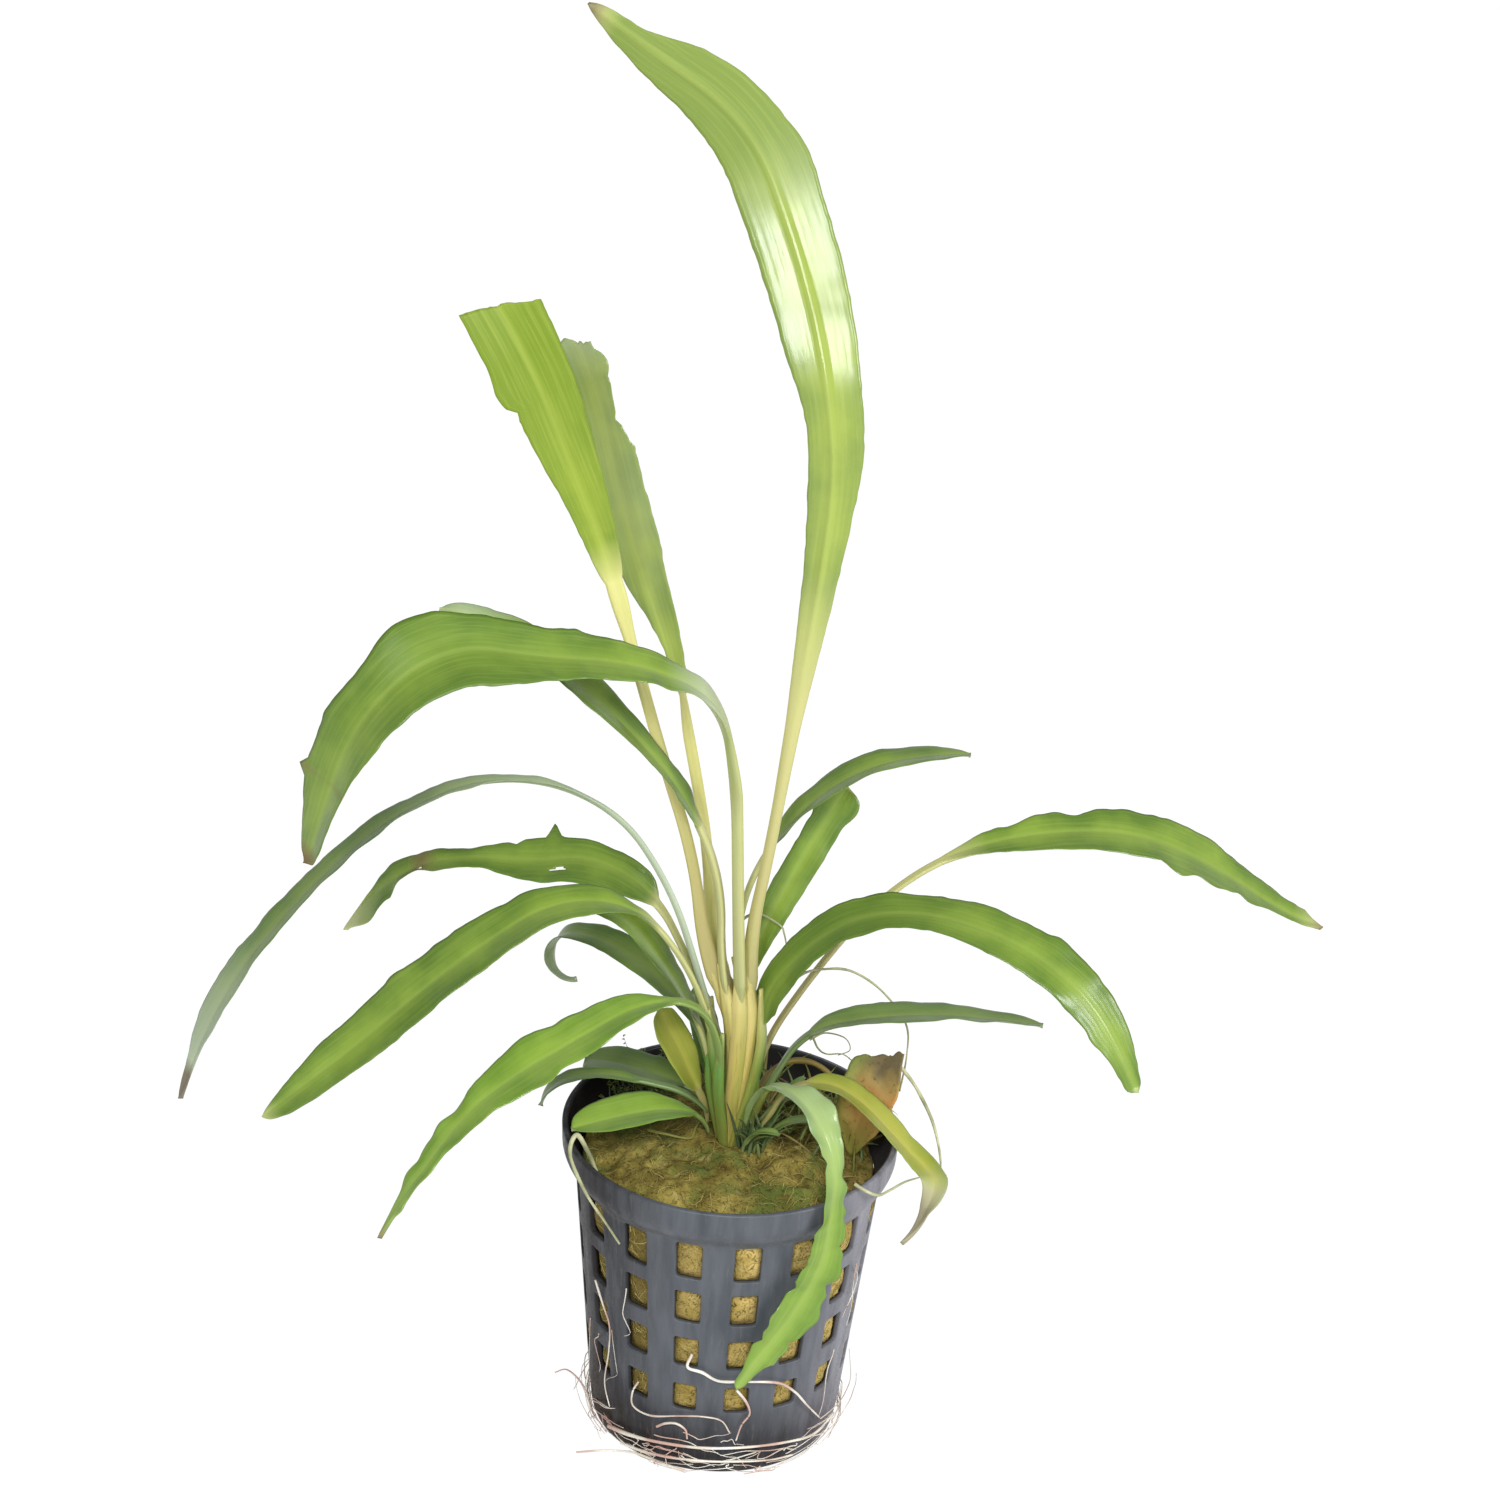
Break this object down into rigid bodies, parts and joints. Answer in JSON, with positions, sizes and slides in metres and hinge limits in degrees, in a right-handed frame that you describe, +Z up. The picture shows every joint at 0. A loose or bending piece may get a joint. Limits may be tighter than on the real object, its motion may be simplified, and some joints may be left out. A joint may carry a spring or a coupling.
{
  "type": "potted cryptocoryne",
  "caption": "Young narrow-leaved cryptocoryne rooted in mineral wool in a small slate-grey plastic net pot, an aquarium plant with arching leaves and loose roots.",
  "frame": {"origin": "middle of the pot's underside, on the surface that the pot stands on", "axes": "+Z up through the pot, -Y towards the side that the picture shows, +X to its right"},
  "size_m": [0.1842, 0.0687, 0.2359],
  "materials": {
    "pot": "injection-moulded slate-grey polypropylene, satin",
    "mineral_wool": "fibrous, damp, olive-brown where algae have grown on it",
    "crown": "smooth leaf sheaths, pinkish tan to yellow-green",
    "leaf_lime": "thin glossy leaf, lime green",
    "leaf_green": "thin glossy leaf, mid green",
    "leaf_deep": "thin satin leaf, deep green",
    "leaf_yellow": "thin leaf turning yellow, satin",
    "withered": "dead leaf, dry and crumpled",
    "dry_stalk": "shrunken dry petiole, matt",
    "root": "off-white root, satin"
  },
  "bodies": {
    "root": {"net_pot": "pot", "mineral_wool_plug": "mineral_wool", "crown": "crown", "leaf_tallest": "leaf_lime", "leaf_torn_front": "leaf_lime", "leaf_torn_back": "leaf_lime", "leaf_wavy_left": "leaf_lime", "leaf_low_left": "leaf_lime", "leaf_front_hanging": "leaf_lime", "leaf_wide_arch": "leaf_green", "leaf_hidden_arch": "leaf_green", "leaf_right_upright": "leaf_green", "leaf_broad_left": "leaf_green", "leaf_ragged": "leaf_green", "leaf_under_left": "leaf_green", "leaf_far_right": "leaf_green", "leaf_right_arch": "leaf_green", "leaf_right_upper": "leaf_green", "leaf_thin_arch": "leaf_deep", "leaf_curled": "leaf_deep", "leaf_low_back": "leaf_deep", "leaf_rim_left": "leaf_deep", "leaf_dark_back": "leaf_deep", "leaf_right_small": "leaf_deep", "new_leaf_1": "leaf_deep", "new_leaf_2": "leaf_deep", "new_leaf_3": "leaf_deep", "leaf_yellow_back": "leaf_yellow", "leaf_right_yellow": "leaf_yellow", "withered_leaf": "withered", "dry_stem_left": "dry_stalk", "dry_tendril": "dry_stalk", "dry_arc": "dry_stalk", "dry_thread_right": "dry_stalk", "root_front_long": "root", "root_front_left": "root", "root_loop": "root", "root_front_drop": "root", "root_ring_upper": "root", "root_ring_lower": "root", "root_trailing": "root", "root_left": "root", "root_left_wall": "root"}
  },
  "joints": []
}
